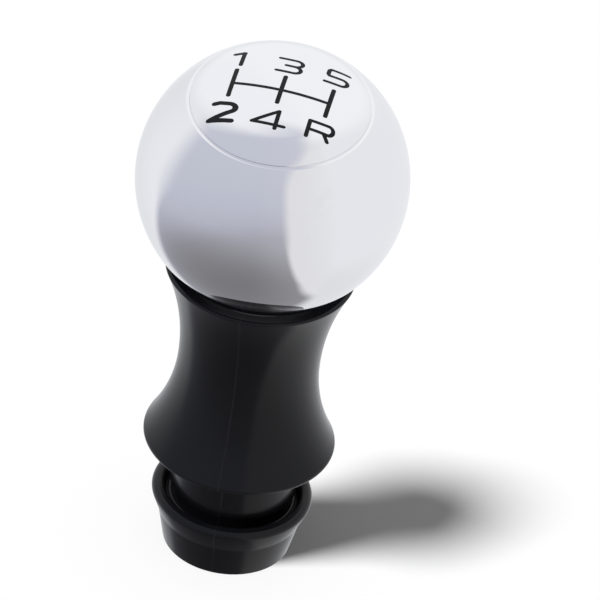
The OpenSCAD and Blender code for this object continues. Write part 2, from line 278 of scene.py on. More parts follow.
class KnobSettings(bpy.types.PropertyGroup):
    """Everything that shapes and colours the knob and its stage."""

    ball: PointerProperty(type=BallSizes)
    cap: PointerProperty(type=CapSizes)
    marks: PointerProperty(type=MarkSizes)
    sleeve: PointerProperty(type=SleeveSizes)
    inner: PointerProperty(type=InnerSizes)
    finish: PointerProperty(type=FinishColours)
    studio: PointerProperty(type=StudioSettings)


def settings():
    """The sizes and colours kept with the scene."""
    return bpy.context.scene.gear_knob


def arc(centre, rx, ry, start, end, steps=ARC_STEPS):
    """Points of an elliptic arc between two angles in degrees."""
    turns = [math.radians(start + (end - start) * i / steps) for i in range(steps + 1)]
    return [Vector((centre[0] + rx * math.cos(a), centre[1] + ry * math.sin(a))) for a in turns]


def corner(before, at, after, radius):
    """Points of an arc that rounds the corner of an outline."""
    before, at, after = Vector(before), Vector(at), Vector(after)
    u, v = (before - at).normalized(), (after - at).normalized()
    half = u.angle(v) / 2
    middle = at + (u + v).normalized() * radius / math.sin(half)
    first = at + u * radius / math.tan(half) - middle
    last = at + v * radius / math.tan(half) - middle
    start = math.degrees(math.atan2(first.y, first.x))
    sweep = (math.degrees(math.atan2(last.y, last.x)) - start + 180) % 360 - 180
    return arc(middle, radius, radius, start, start + sweep, CORNER_STEPS)


def round_turns(count):
    """Equal angles round a full turn."""
    return [FULL_TURN * i / count for i in range(count)]


def revolve(profile, turns, place=None, closed=False):
    """Turns a profile of (radius, height) into vertices and faces. place moves a point, given the profile's
    index and the angle with it."""
    verts, rings = [], []
    for index, (r, h) in enumerate(profile):
        around = turns if r > 0 else turns[:1]
        rings.append(range(len(verts), len(verts) + len(around)))
        for a in around:
            point = Vector((r * math.cos(a), r * math.sin(a), h))
            verts.append(place(index, a, point) if place else point)
    faces = []
    for low, high in zip(rings, rings[1:] + (rings[:1] if closed else [])):
        for i in range(len(turns)):
            j = (i + 1) % len(turns)
            if len(low) == 1:
                faces.append((low[0], high[j], high[i]))
            elif len(high) == 1:
                faces.append((low[i], low[j], high[0]))
            else:
                faces.append((low[i], low[j], high[j], high[i]))
    return verts, faces


def add_object(name, data):
    """Adds an object to the scene."""
    made = bpy.data.objects.new(name, data)
    bpy.context.scene.collection.objects.link(made)
    return made


def add_piece(name, verts, faces, material, slot, *stands_for, shadow=False):
    """A smooth mesh that rides on the knob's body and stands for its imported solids. Only the inner parts
    cast a shadow."""
    mesh = bpy.data.meshes.new(name)
    mesh.from_pydata([tuple(v) for v in verts], [], faces)
    mesh.shade_smooth()
    mesh.set_sharp_from_angle(angle=SHARP_EDGE)
    mesh.materials.append(material)
    piece = add_object(name, mesh)
    piece.visible_shadow = shadow
    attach(piece, "root")
    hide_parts(*stands_for)
    return piece


class Shader:
    """A node tree being wired, with one short call for each kind of node."""

    def __init__(self, tree):
        self.tree = tree
        tree.nodes.clear()

    def node(self, kind, inputs=None, **options):
        """Adds a node with its options and its inputs, each a number or another node's output."""
        made = self.tree.nodes.new(kind)
        for option, value in options.items():
            setattr(made, option, value)
        for key, value in (inputs or {}).items():
            if isinstance(value, bpy.types.NodeSocket):
                self.tree.links.new(value, made.inputs[key])
            elif value is not None:
                made.inputs[key].default_value = value
        return made

    def math(self, operation, a, b=None, c=None):
        """One sum or comparison."""
        return self.node("ShaderNodeMath", {0: a, 1: b, 2: c}, operation=operation).outputs[0]

    def dot(self, vector, direction):
        """How far a vector points along a fixed direction."""
        made = self.node("ShaderNodeVectorMath", {0: vector, 1: direction}, operation="DOT_PRODUCT")
        return made.outputs["Value"]

    def stretched(self, vector, scale):
        """A vector scaled along each axis by itself."""
        return self.node("ShaderNodeVectorMath", {0: vector, 1: scale}, operation="MULTIPLY").outputs[0]

    def step(self, value, low, high, out_low=0.0, out_high=1.0):
        """A soft step from one value to another."""
        inputs = {0: value, 1: low, 2: high, 3: out_low, 4: out_high}
        return self.node("ShaderNodeMapRange", inputs, interpolation_type="SMOOTHSTEP").outputs[0]

    def mix_value(self, factor, a, b):
        """Blends two numbers."""
        return self.node("ShaderNodeMix", {0: factor, 2: a, 3: b}, data_type="FLOAT").outputs[0]

    def mix(self, factor, a, b):
        """Blends two colours."""
        return self.node("ShaderNodeMix", {0: factor, 6: a, 7: b}, data_type="RGBA").outputs[2]

    def noise(self, vector, scale, detail=3.0, roughness=0.55):
        """Even noise between 0 and 1."""
        inputs = {"Vector": vector, "Scale": scale, "Detail": detail, "Roughness": roughness}
        return self.node("ShaderNodeTexNoise", inputs).outputs["Fac"]

    def bump(self, height, distance, strength=1.0):
        """A bump of the given height in metres."""
        inputs = {"Strength": strength, "Distance": distance, "Height": height}
        return self.node("ShaderNodeBump", inputs).outputs[0]

    def surface(self, **inputs):
        """Ends the tree in one surface shader."""
        named = {key.replace("_", " "): value for key, value in inputs.items()}
        shader = self.node("ShaderNodeBsdfPrincipled", named)
        self.node("ShaderNodeOutputMaterial", {0: shader.outputs[0]})


def new_material(name):
    """An empty material, the shader builder for it and the place on its piece."""
    material = bpy.data.materials.new(name)
    material.use_nodes = True
    shader = Shader(material.node_tree)
    return material, shader, shader.node("ShaderNodeTexCoord").outputs["Object"]


def tint(linear, share=1.0):
    """A colour socket's value, with the colour scaled by a share."""
    return (*(min(c * share, 1.0) for c in linear), 1.0)


def polished_metal(name):
    """Mirror-polished aluminium: faint polishing haze, hairlines and a slight waviness."""
    material, s, place = new_material(name)
    haze = s.noise(place, 140.0, 4.0)
    hairlines = s.noise(s.stretched(place, (900.0, 900.0, 9000.0)), 1.0, 2.0, 0.7)
    wave = s.noise(place, 90.0, 1.0)
    rough = s.math("ADD", s.step(haze, 0.35, 0.75, 0.03, 0.05), s.step(hairlines, 0.55, 0.8, 0.0, 0.02))
    s.surface(Base_Color=tint(settings().finish.metal), Metallic=1.0, Roughness=rough,
              Normal=s.bump(wave, 4e-6))
    return material


def filling_paint():
    """Black paint that fills the engraving, with a slightly uneven skin."""
    material, s, place = new_material("filling_paint")
    skin = s.noise(place, 1500.0)
    black = settings().finish.paint
    s.surface(Base_Color=s.mix(s.step(skin, 0.45, 0.75), tint(black), tint(black, 1.6)), IOR=1.25,
              Roughness=s.step(skin, 0.3, 0.7, 0.22, 0.36), Normal=s.bump(skin, 1e-5))
    return material


def satin_rubber():
    """Moulded black rubber: fine grain, handling marks, a few pale specks and a rubbed parting line."""
    material, s, place = new_material("satin_rubber")
    grain = s.noise(place, 5200.0, 2.0)
    patches = s.noise(place, 75.0, 4.0)
    cells = s.node("ShaderNodeTexVoronoi", {"Vector": place, "Scale": 130.0})
    pick = s.node("ShaderNodeSeparateColor", {0: cells.outputs["Color"]}).outputs[0]
    speck = s.math("MULTIPLY", s.step(cells.outputs["Distance"], 0.05, 0.03), s.step(pick, 0.93, 0.94))
    half_seam = settings().sleeve.seam_width / 2
    seam = s.step(s.math("ABSOLUTE", s.dot(place, (1.0, 0.0, 0.0))), half_seam, half_seam / 3)
    black = settings().finish.rubber
    base = s.mix(s.step(patches, 0.3, 0.7), tint(black), tint(black, 1.3))
    base = s.mix(seam, base, tint(black, 2.0))
    base = s.mix(speck, base, tint(black, 14.0))
    rough = s.math("ADD", s.step(patches, 0.3, 0.75, 0.16, 0.21), s.step(grain, 0.4, 0.7, 0.0, 0.02))
    s.surface(Base_Color=base, Roughness=rough, IOR=1.3, Normal=s.bump(grain, 8e-6, 0.25))
    return material


def moulded_plastic(name, shade, rough_low, rough_high):
    """Moulded engineering plastic with flow marks and a fine grain."""
    material, s, place = new_material(name)
    flow = s.noise(s.stretched(place, (1.0, 1.0, 0.25)), 160.0, 4.0)
    grain = s.noise(place, 4200.0, 2.0)
    rough = s.step(flow, 0.3, 0.7, rough_low, rough_high)
    rough = s.math("ADD", rough, s.step(grain, 0.4, 0.7, 0.0, 0.04))
    s.surface(Base_Color=s.mix(s.step(flow, 0.3, 0.7), tint(shade), tint(shade, 1.15)), Roughness=rough,
              Normal=s.bump(grain, 8e-6, 0.3))
    return material


def turned_metal(name, shade, rough_low, rough_high):
    """Turned or plated metal with tool rings round its axis and a little tarnish."""
    material, s, place = new_material(name)
    rings = s.noise(s.stretched(place, (60.0, 60.0, 7000.0)), 1.0, 2.0)
    tarnish = s.noise(place, 220.0, 5.0)
    rough = s.step(tarnish, 0.3, 0.7, rough_low, rough_high)
    rough = s.math("ADD", rough, s.step(rings, 0.4, 0.7, 0.0, 0.05))
    s.surface(Base_Color=s.mix(s.step(tarnish, 0.35, 0.75), tint(shade), tint(shade, 0.8)), Metallic=1.0,
              Roughness=rough, Normal=s.bump(rings, 4e-6, 0.4))
    return material


def ball_centre():
    """The middle of the ball, from the flat that it stands on."""
    ball = settings().ball
    return Vector((0, 0, SEAT_Z + math.sqrt(ball.radius ** 2 - ball.flat ** 2)))


class CapFace:
    """The cap's face, from the ball's centre: a flat dome whose round shoulder meets the ball's curve."""

    def __init__(self):
        cap, ball = settings().cap, settings().ball
        self.radius, self.reach, self.dome = cap.radius, cap.reach, cap.dome
        self.edge_slope = math.asin(cap.radius / ball.radius)
        self.dome_slope = math.asin(cap.reach / cap.dome)
        self.edge_z = ball.radius * math.cos(self.edge_slope)
        self.bend = (cap.radius - cap.reach) / (math.sin(self.edge_slope) - math.sin(self.dome_slope))
        self.bend_r = cap.radius - self.bend * math.sin(self.edge_slope)
        self.bend_z = self.edge_z - self.bend * math.cos(self.edge_slope)
        self.dome_z = self.bend_z + (self.bend - self.dome) * math.cos(self.dome_slope)
        self.floor_z = self.edge_z - cap.thickness

    def height(self, point):
        """Height of the face above a point."""
        if point.length < self.reach:
            return self.dome_z + math.sqrt(self.dome ** 2 - point.length_squared)
        return self.bend_z + math.sqrt(self.bend ** 2 - (point.length - self.bend_r) ** 2)

    def normal(self, point):
        """The face's own normal above a point."""
        if point.length < self.reach:
            return Vector((point.x, point.y, math.sqrt(self.dome ** 2 - point.length_squared))).normalized()
        out = point * (1 - self.bend_r / point.length)
        return Vector((out.x, out.y, self.height(point) - self.bend_z)).normalized()

    def rings(self):
        """Radii at which the face is drawn, closer together on the shoulder."""
        inner = [self.reach * i / CAP_INNER_RINGS for i in range(1, CAP_INNER_RINGS)]
        turn = self.edge_slope - self.dome_slope
        slopes = [self.dome_slope + turn * i / CAP_SHOULDER_RINGS for i in range(CAP_SHOULDER_RINGS)]
        return inner + [self.bend_r + self.bend * math.sin(a) for a in slopes]


def offset_side(path, away):
    """The path's points moved sideways, with mitred corners."""
    moved = []
    for i, point in enumerate(path):
        back = (path[i] - path[i - 1]).normalized() if i else (path[1] - path[0]).normalized()
        ahead = (path[i + 1] - path[i]).normalized() if i < len(path) - 1 else back
        along = (back + ahead).normalized()
        moved.append(point + Vector((-along.y, along.x)) * away / along.dot(ahead))
    return moved


def round_end(before, at, width):
    """The round end of a stroke that arrives from a point."""
    turn = math.degrees(math.atan2(at.y - before.y, at.x - before.x))
    return arc(at, width / 2, width / 2, turn - END_TURN, turn + END_TURN, END_STEPS)


def stroke(path, width):
    """Outline of a stroke with round ends, with a point at every short pace along its sides. The pen is
    flatter than it is wide, so the stroke is worked out on stretched heights."""
    flat = settings().marks.pen_flat
    path = [Vector((x, y / flat)) for x, y in path]
    outline = offset_side(path, -width / 2) + round_end(path[-2], path[-1], width)
    outline += offset_side(path, width / 2)[::-1] + round_end(path[1], path[0], width)
    outline = [Vector((x, y * flat)) for x, y in outline]
    paced = []
    for a, b in zip(outline, outline[1:] + outline[:1]):
        parts = max(1, math.ceil((b - a).length / STROKE_PACE))
        paced += [a.lerp(b, k / parts) for k in range(parts)]
    return paced


def one(h):
    """Paths of the number 1."""
    return [[(-h / 3, h / 3), (h / 12, h / 2)], [(h / 12, h / 2), (h / 12, -h / 2)]]


def two(h):
    """Paths of the number 2."""
    lobe = arc((h / 5, h / 4), h / 3, h / 4, 90, -50, LOBE_STEPS)
    foot = (-0.55 * h, -h / 2)
    return [[(-h / 2, 0.42 * h), (-h / 4, h / 2), *lobe], [lobe[-1], foot], [foot, (h / 2, -h / 2)]]


def three(h):
    """Paths of the number 3."""
    upper = arc((h / 4, h / 4), h / 3, h / 4, 90, -90, LOBE_STEPS)
    lower = arc((h / 4, -h / 4), h / 3, h / 4, 90, -90, LOBE_STEPS)
    return [[(-0.55 * h, h / 2), *upper, (-h / 6, 0)], [*lower, (-0.55 * h, -h / 2)]]


def four(h):
    """Paths of the number 4."""
    top, left = (h / 4, h / 2), (-0.9 * h, -h / 3)
    return [[top, left], [left, (0.65 * h, -h / 3)], [top, (h / 4, -0.53 * h)]]


def five(h):
    """Paths of the number 5."""
    back = [(-0.44 * h, 0.6 * h), (-0.52 * h, h / 2), (-0.52 * h, h / 5), (-0.44 * h, h / 10)]
    lobe = arc((h / 5, -0.15 * h), 0.3 * h, h / 4, 90, -90, LOBE_STEPS)
    return [[(0.45 * h, 0.6 * h), *back, *lobe, (-0.57 * h, -0.4 * h)]]


def reverse(h):
    """Paths of the letter for reverse."""
    left, top = -0.6 * h, h / 2
    bowl = arc((h / 3, h / 4), h / 4, h / 4, 90, -90, LOBE_STEPS)
    leg = [(h / 6, 0), (0.42 * h, -h / 3)]
    return [[(left, -0.43 * h), (left, top)], [(left, top), *bowl, (left, 0)], leg]


def gate_strokes():
    """Outlines of the three shift lines and the line across them."""
    marks = settings().marks
    middle = marks.gate_y + marks.lane_shift
    paths = [[(x, middle - marks.lane / 2), (x, middle + marks.lane / 2)]
             for x in (-marks.column_gap, 0, marks.column_gap)]
    paths.append([(-marks.column_gap, marks.gate_y), (marks.column_gap, marks.gate_y)])
    return [stroke([Vector(p) for p in path], marks.lane_width) for path in paths]


def number_strokes():
    """Outlines of the strokes of the numbers, at the ends of the shift lines."""
    marks = settings().marks
    outlines = []
    for row, drawn in ((1, (one, three, five)), (-1, (two, four, reverse))):
        for column, draw in zip((-1, 0, 1), drawn):
            middle = Vector((column * marks.column_gap, marks.gate_y + row * marks.reach))
            for place, path in enumerate(draw(marks.height)):
                bold = 1.0
                if draw is two:
                    bold = marks.bold_two
                elif draw is one and place == 0:
                    bold = BOLD_FLAG
                outlines.append(stroke([middle + Vector(p) for p in path], bold * marks.stroke_width))
    return outlines


class CapSheet:
    """The cap's face seen from above, cut into triangles along the edges of its marks. kinds says for each
    triangle whether it is bare metal, the gate or a number."""

    METAL, GATE, NUMBER = range(3)

    def __init__(self):
        face = CapFace()
        rim = arc((0, 0), face.radius, face.radius, 0, 360, CAP_SEGMENTS)[:-1]
        gate, numbers = gate_strokes(), number_strokes()
        points, loops = [], []
        for outline in [rim] + gate + numbers:
            loops.append(list(range(len(points), len(points) + len(outline))))
            points += outline
        for r in face.rings():
            count = min(CAP_SEGMENTS, max(CAP_LEAST_SEGMENTS, round(FULL_TURN * r / CAP_GRAIN)))
            points += arc((0, 0), r, r, 0, 360, count)[:-1]
        # Worked in millimetres, which keeps the small lengths exact
        inside_only = 1
        found = delaunay_2d_cdt([p / MM for p in points], [], loops, inside_only, CUT_GRAIN_MM)
        self.points = [p * MM for p in found[0]]
        self.triangles, self.kinds = [], []
        for triangle, inside in zip(found[2], found[5]):
            marked = [i for i in inside if i > 0]
            if 0 not in inside:
                continue
            kind = self.METAL if not marked else self.GATE if min(marked) <= len(gate) else self.NUMBER
            self.triangles.append(triangle)
            self.kinds.append(kind)

    def region(self, *kinds):
        """The triangles of some kinds, and the edges round them."""
        chosen = [t for t, kind in zip(self.triangles, self.kinds) if kind in kinds]
        edges = [(t[i], t[(i + 1) % 3]) for t in chosen for i in range(3)]
        ways = set(edges)
        return chosen, [(a, b) for a, b in edges if (b, a) not in ways]


class MeshMaker:
    """Collects vertices, faces and the exact normal at each corner, in the cap's own frame."""

    def __init__(self):
        self.curve = CapFace()
        self.verts, self.faces, self.normals = [], [], []
        self.known = {}

    def vertex(self, point):
        """Index of a vertex, made only once for each place."""
        key = tuple(round(c / MM, SAME_PLACES) for c in point)
        if key not in self.known:
            self.known[key] = len(self.verts)
            self.verts.append(Vector(point))
        return self.known[key]

    def face(self, points, normals):
        """Adds a face unless it has shrunk to a line."""
        corners = [self.vertex(p) for p in points]
        if len(set(corners)) == len(corners):
            self.faces.append(corners)
            self.normals += normals

    def under(self, point, drop):
        """The place at a depth under the cap's face."""
        return at_height(point, self.curve.height(point) - drop)

    def skin(self, corners, drop, way=1):
        """Adds a face that follows the cap's own at a depth under it. A way of -1 turns it over."""
        corners = corners[::way]
        self.face([self.under(p, drop) for p in corners], [self.curve.normal(p) * way for p in corners])

    def wall(self, a, b, upper, lower):
        """Adds an upright face between two depths under the cap's face."""
        self.face([self.under(a, upper), self.under(b, upper), self.under(b, lower), self.under(a, lower)],
                  [-across(a, b)] * 4)

    def piece(self, name, material, slot, node):
        """Makes the piece in its place on the ball, with the exact normals."""
        into = Matrix.Translation(ball_centre()) @ Matrix.Rotation(settings().cap.tilt, 4, "X")
        made = add_piece(name, [into @ v for v in self.verts], self.faces, material, slot, node)
        made.data.normals_split_custom_set([into.to_3x3() @ n for n in self.normals])


def at_height(point, z):
    """A point on the cap's plan raised to a height."""
    return Vector((point.x, point.y, z))


def across(a, b):
    """The level normal on the right of the way from one point to another."""
    return Vector((b.y - a.y, a.x - b.x, 0)).normalized()


class KNOB_OT_ball(bpy.types.Operator):
    """Build the polished ball with its socket, its recess for the cap and the bevel round that"""

    bl_idname = "gear_knob.ball"
    bl_label = "Metal Ball"

    def execute(self, context):
        ball, cap, face = settings().ball, settings().cap, CapFace()
        centre = ball_centre()
        seat = SEAT_Z - centre.z
        under = [(0, seat + ball.tapped_end), (ball.tapped, seat + ball.tapped_end),
                 (ball.tapped, seat + ball.socket_depth), (ball.socket, seat + ball.socket_depth),
                 (ball.socket, seat)]
        hole = cap.radius + cap.clearance
        hole_turn = math.asin(hole / ball.radius)
        away = ball.radius + math.sqrt(ball.cutter ** 2 - ball.bevel ** 2)
        cutter = Vector((away * math.sin(hole_turn), away * math.cos(hole_turn)))
        reach = (away ** 2 + ball.radius ** 2 - ball.cutter ** 2) / (2 * away * ball.radius)
        low = math.asin(ball.flat / ball.radius)
        high = math.pi - hole_turn - math.acos(reach)
        skin, lean = [], []
        for i in range(BALL_RINGS + 1):
            # Rings lie closer together towards both edges
            share = 0.5 - 0.5 * math.cos(math.pi * i / BALL_RINGS)
            polar = low + (high - low) * share
            skin.append((ball.radius * math.sin(polar), -ball.radius * math.cos(polar)))
            lean.append(share * share * (3 - 2 * share))
        outer = Vector(skin[-1]) - cutter
        start = math.degrees(math.atan2(outer.y, outer.x))
        end = -math.degrees(math.acos((hole - cutter.x) / ball.cutter))
        bevel = arc(cutter, ball.cutter, ball.cutter, start, end, BEVEL_STEPS)[1:]
        peg = cap.peg + cap.clearance
        peg_floor = face.floor_z - cap.peg_length - cap.clearance
        recess = [(hole, face.floor_z), (peg, face.floor_z), (peg, peg_floor), (0, peg_floor)]
        tilts = [0.0] * len(under) + lean + [1.0] * (len(bevel) + len(recess))

        def place(index, turn, point):
            return centre + Matrix.Rotation(cap.tilt * tilts[index], 3, "X") @ point

        verts, faces = revolve(under + skin + bevel + recess, round_turns(BALL_SEGMENTS), place)
        metal = polished_metal("polished_ball")
        add_piece("polished_ball", verts, faces, metal, "polished_metal", "knob_ball")
        return {"FINISHED"}


class KNOB_OT_cap(bpy.types.Operator):
    """Build the pattern cap, with the gate and the numbers engraved in its face"""

    bl_idname = "gear_knob.cap"
    bl_label = "Pattern Cap"

    def execute(self, context):
        cap, depth, sheet, made = settings().cap, settings().marks.depth, CapSheet(), MeshMaker()
        points, edge_z, floor_z = sheet.points, made.curve.edge_z, made.curve.floor_z
        metal, edges = sheet.region(sheet.METAL)
        marks, rims = sheet.region(sheet.GATE, sheet.NUMBER)
        for triangles, drop in ((metal, 0), (marks, depth)):
            for triangle in triangles:
                made.skin([points[i] for i in triangle], drop)
        for i, j in rims:
            made.wall(points[i], points[j], 0, depth)
        down = Vector((0, 0, -1))
        peg_end = floor_z - cap.peg_length
        for i, j in edges:
            a, b = points[i], points[j]
            if min(a.length, b.length) < cap.radius - RIM_SLACK:
                continue
            out_a, out_b = a.normalized(), b.normalized()
            sides = [at_height(out_a, 0)] * 2 + [at_height(out_b, 0)] * 2
            rim, peg = a.length, cap.peg
            strips = [(rim, edge_z, rim, floor_z, sides), (rim, floor_z, peg, floor_z, [down] * 4),
                      (peg, floor_z, peg, peg_end, sides)]
            for upper, upper_z, lower, lower_z, normals in strips:
                made.face([at_height(out_a * upper, upper_z), at_height(out_a * lower, lower_z),
                           at_height(out_b * lower, lower_z), at_height(out_b * upper, upper_z)], normals)
            made.face([at_height(out_a * peg, peg_end), at_height(out_a * 0, peg_end),
                       at_height(out_b * peg, peg_end)], [down] * 3)
        made.piece("engraved_cap", polished_metal("polished_cap"), "polished_metal", "pattern_cap")
        return {"FINISHED"}


class KNOB_OT_paint(bpy.types.Operator):
    """Fill the engraved gate and numbers with black paint"""

    bl_idname = "gear_knob.paint"
    bl_label = "Filling Paint"

    def execute(self, context):
        marks, sheet, paint = settings().marks, CapSheet(), filling_paint()
        for name, kind, node in (("gate_paint", sheet.GATE, "gate_infill"),
                                 ("number_paint", sheet.NUMBER, "number_infill")):
            made = MeshMaker()
            triangles, rims = sheet.region(kind)
            for triangle in triangles:
                corners = [sheet.points[i] for i in triangle]
                made.skin(corners, marks.paint_drop)
                made.skin(corners, marks.depth, -1)
            for i, j in rims:
                made.wall(sheet.points[j], sheet.points[i], marks.paint_drop, marks.depth)
            made.piece(name, paint, "black_paint", node)
        return {"FINISHED"}


def hollow_radius(dx, dz, edge):
    """Radius of a hollow arc that starts upright at the waist and ends tangent to an edge rounding whose
    centre is dx further out and dz away."""
    return (dx * dx + dz * dz - edge * edge) / (2 * (edge + dx))


def sleeve_outline():
    """The sleeve's outside, upwards from the foot to the lip."""
    s = settings().sleeve
    half_lip = s.collar_lip / 2
    rim = (s.collar - half_lip, s.collar_z - half_lip)
    foot, turn, flank = (s.foot, 0), (s.collar_wall, s.collar_wall_z), (s.collar, rim[1] - half_lip / 2)
    gutter, undercut = (s.undercut, s.gutter_z), (s.undercut, s.neck_z)
    neck, skirt, skirt_edge = (s.neck, s.neck_z), (s.neck, s.skirt_z), (s.skirt, s.skirt_z)
    outline = corner((0, 0), foot, turn, s.foot_round) + corner(foot, turn, flank, s.collar_blend)
    outline += arc(rim, half_lip, half_lip, *COLLAR_ROUND, ARC_STEPS // 2)
    outline += corner(rim, gutter, undercut, s.gutter_round) + corner(gutter, undercut, neck, s.neck_round)
    outline += corner(undercut, neck, skirt, s.neck_round) + corner(neck, skirt, skirt_edge, s.skirt_fillet)
    low = (s.skirt - s.skirt_round, s.skirt_z + s.skirt_round)
    high = (s.lip - s.lip_round, LIP_Z - s.lip_round)
    low_bend = hollow_radius(low[0] - s.waist, s.waist_z - low[1], s.skirt_round)
    high_bend = hollow_radius(high[0] - s.waist, high[1] - s.waist_z, s.lip_round)
    low_turn = math.degrees(math.asin((s.waist_z - low[1]) / (low_bend + s.skirt_round)))
    high_turn = math.degrees(math.asin((high[1] - s.waist_z) / (high_bend + s.lip_round)))
    outline += arc(low, s.skirt_round, s.skirt_round, -90, low_turn, CORNER_STEPS * 2)
    outline += arc((s.waist + low_bend, s.waist_z), low_bend, low_bend, 180 + low_turn, 180)[1:]
    outline += arc((s.waist + high_bend, s.waist_z), high_bend, high_bend, 180, 180 - high_turn)[1:]
    outline += arc(high, s.lip_round, s.lip_round, -high_turn, 90, CORNER_STEPS * 2)[1:]
    return outline


def sleeve_inside():
    """The sleeve's inside, downwards from the dish under the ball to the foot."""
    s, ball = settings().sleeve, settings().ball
    dish = ball.radius + s.dish_open
    dish_z = SEAT_Z - s.dish_drop + math.sqrt(dish ** 2 - ball.flat ** 2)
    edge = math.asin((dish_z - LIP_Z) / dish)
    inner = math.acos(s.shoulder / dish)
    shelf = SEAT_Z - s.shoulder_depth
    bowl = arc((0, dish_z), dish, dish, -math.degrees(edge), -math.degrees(inner), ARC_STEPS // 2)
    return bowl + [Vector((s.shoulder, shelf)), Vector((s.bore, shelf)), Vector((s.bore, 0))]


class KNOB_OT_sleeve(bpy.types.Operator):
    """Build the rubber sleeve with its lip, waist, skirt, gaiter neck, collar and parting lines"""

    bl_idname = "gear_knob.sleeve"
    bl_label = "Rubber Sleeve"

    def execute(self, context):
        s = settings().sleeve
        outside = sleeve_outline()
        half = math.asin(s.seam_width / 2 / s.waist)
        seams = [math.pi / 2, 3 * math.pi / 2]
        turns = round_turns(SLEEVE_SEGMENTS)
        turns = [a for a in turns if min(abs(a - seam) for seam in seams) > SEAM_ROOM * half]
        for seam in seams:
            turns += [seam + half * (2 * i / SEAM_STEPS - 1) for i in range(SEAM_STEPS + 1)]
        turns.sort()

        def place(index, turn, point):
            away = min(abs(turn - seam) for seam in seams) / half
            if index >= len(outside) or away >= 1 or point.z < s.foot_round:
                return point
            rise = s.seam_height * (0.5 + 0.5 * math.cos(math.pi * away))
            return point + Vector((point.x, point.y, 0)).normalized() * rise

        verts, faces = revolve(outside + sleeve_inside(), turns, place, closed=True)
        add_piece("rubber_sleeve", verts, faces, satin_rubber(), "sleeve_rubber", "grip_sleeve")
        return {"FINISHED"}


def dress(node, material):
    """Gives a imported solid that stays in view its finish."""
    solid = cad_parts[node]
    solid.data.materials.clear()
    solid.data.materials.append(material)


class KNOB_OT_core(bpy.types.Operator):
    """Finish the stiff core inside the sleeve and the bush that guides the lever"""

    bl_idname = "gear_knob.core"
    bl_label = "Core and Bush"

    def execute(self, context):
        finish = settings().finish
        dress("stem_core", moulded_plastic("core_plastic", finish.core, 0.5, 0.62))
        dress("guide_bush", moulded_plastic("bush_plastic", finish.bush, 0.38, 0.5))
        return {"FINISHED"}


def thread_profile(turn, height, pitch):
    """Share of a thread's full depth at an angle and a height, with flat crests and roots."""
    share = (height / pitch - turn / FULL_TURN) % 1.0
    flank = abs(2 * share - 1)
    return min(max((flank - THREAD_FLAT) / (1 - 2 * THREAD_FLAT), 0.0), 1.0)


def thread_rows(low, high, pitch):
    """Heights at which a thread is drawn."""
    rows = round((high - low) / pitch * ROWS_PER_PITCH)
    return [low + (high - low) * i / rows for i in range(rows + 1)]


def knurl(turn):
    """Share of a knurl's full depth at an angle."""
    return 0.5 - 0.5 * math.cos(THREAD_SEGMENTS // SEGMENTS_PER_KNURL * turn)


class KNOB_OT_insert(bpy.types.Operator):
    """Build the brass insert, threaded inside for the lever and knurled outside"""

    bl_idname = "gear_knob.insert"
    bl_label = "Threaded Insert"

    def execute(self, context):
        s = settings().inner
        middle, groove = (INSERT_LOW + INSERT_HIGH) / 2, s.groove_width / 2
        root = s.insert_outer - s.insert_groove
        outside = [(s.insert_outer, INSERT_LOW), (s.insert_outer, middle - groove), (root, middle - groove),
                   (root, middle + groove), (s.insert_outer, middle + groove), (s.insert_outer, INSERT_HIGH)]
        inside = [(s.insert_bore, z) for z in thread_rows(INSERT_LOW, INSERT_HIGH, s.pitch)][::-1]

        def place(index, turn, point):
            level = Vector((point.x, point.y, 0)).normalized()
            if index >= len(outside):
                end = min(point.z - INSERT_LOW, INSERT_HIGH - point.z) / s.chamfer
                return point + level * s.insert_thread * max(thread_profile(turn, point.z, s.pitch), 1 - end)
            deep = outside[index][0] < s.insert_outer
            return point if deep else point - level * s.insert_knurl * knurl(turn)

        verts, faces = revolve(outside + inside, round_turns(THREAD_SEGMENTS), place, closed=True)
        brass = turned_metal("turned_brass", settings().finish.brass, 0.2, 0.34)
        add_piece("brass_insert", verts, faces, brass, "brass", "threaded_insert", shadow=True)
        return {"FINISHED"}


class KNOB_OT_screw(bpy.types.Operator):
    """Build the cap screw that holds the ball, with its knurled head, key socket and thread"""

    bl_idname = "gear_knob.screw"
    bl_label = "Ball Screw"

    def execute(self, context):
        s = settings().inner
        under_head = SCREW_LOW + s.head_height
        flat = s.key_flats / 2
        socket = [(0, SCREW_LOW + s.key_depth), (flat, SCREW_LOW + s.key_depth), (flat, SCREW_LOW)]
        head = [(s.head - s.chamfer, SCREW_LOW), (s.head, SCREW_LOW + s.chamfer), (s.head, under_head),
                (s.screw, under_head)]
        shank = [(s.screw, z) for z in thread_rows(under_head + s.pitch, SCREW_HIGH, s.pitch)]
        first, last = len(socket), len(socket) + len(head)

        def place(index, turn, point):
            level = Vector((point.x, point.y, 0)).normalized()
            if 0 < index < first:
                # The key socket has six flats
                side = (turn + math.pi / 6) % (math.pi / 3) - math.pi / 6
                return at_height(level * flat / math.cos(side), point.z)
            if first < index < last - 1:
                return point - level * s.head_knurl * knurl(turn)
            if index > last:
                cut = max(thread_profile(turn, point.z, s.pitch), 1 - (SCREW_HIGH - point.z) / s.chamfer)
                return point - level * s.screw_thread * cut
            return point

        profile = socket + head + shank + [(0, SCREW_HIGH)]
        verts, faces = revolve(profile, round_turns(THREAD_SEGMENTS), place)
        steel = turned_metal("plated_steel", settings().finish.steel, 0.24, 0.38)
        add_piece("plated_screw", verts, faces, steel, "plated_steel", "ball_screw", shadow=True)
        return {"FINISHED"}


def camera_axes():
    """The camera's right, up and back directions, before its roll."""
    studio = settings().studio
    a, e = studio.azimuth, studio.elevation
    right = Vector((math.cos(a), math.sin(a), 0))
    back = Vector((math.sin(a) * math.cos(e), -math.cos(a) * math.cos(e), math.sin(e)))
    return right, back.cross(right), back


